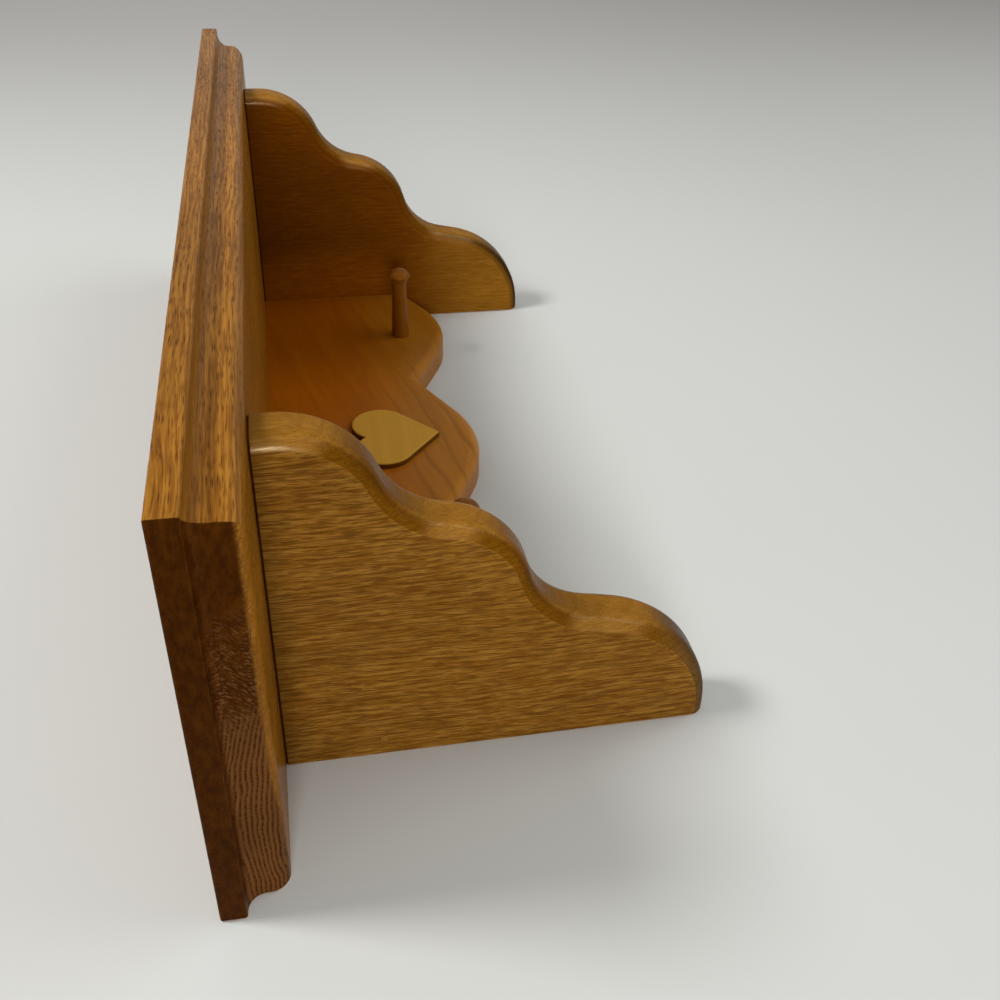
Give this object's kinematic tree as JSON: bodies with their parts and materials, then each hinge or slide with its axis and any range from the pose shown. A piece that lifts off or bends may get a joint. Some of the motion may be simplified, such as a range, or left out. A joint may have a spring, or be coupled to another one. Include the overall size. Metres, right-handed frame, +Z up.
{
  "type": "wall shelf with pegs",
  "caption": "Country oak wall shelf: moulded board on scrolled three-hump brackets, with a scalloped back board that carries a pale heart and turned hanging pegs.",
  "frame": {"origin": "on the wall plane, midway between the entry holes of the two keyholes", "axes": "+X along the shelf to the right as seen from the front, +Y into the wall, +Z up"},
  "size_m": [0.406, 0.126, 0.1466],
  "materials": {
    "oak_shelf": "satin",
    "oak_bracket": "satin",
    "oak_back_board": "satin",
    "pale_heart": "satin",
    "peg_wood": "satin",
    "nail_steel": "satin",
    "nail_filler": "matte"
  },
  "bodies": {
    "root": {"shelf_board": "oak_shelf", "left_bracket": "oak_bracket", "right_bracket": "oak_bracket", "back_board": "oak_back_board", "heart_applique": "pale_heart", "left_peg": "peg_wood", "right_peg": "peg_wood", "left_bracket_nails": "nail_steel", "right_bracket_nails": "nail_steel", "left_shelf_nails": "nail_steel", "right_shelf_nails": "nail_steel", "back_board_nails": "nail_steel", "left_bracket_fillers": "nail_filler", "right_bracket_fillers": "nail_filler", "shelf_fillers": "nail_filler"}
  },
  "joints": []
}
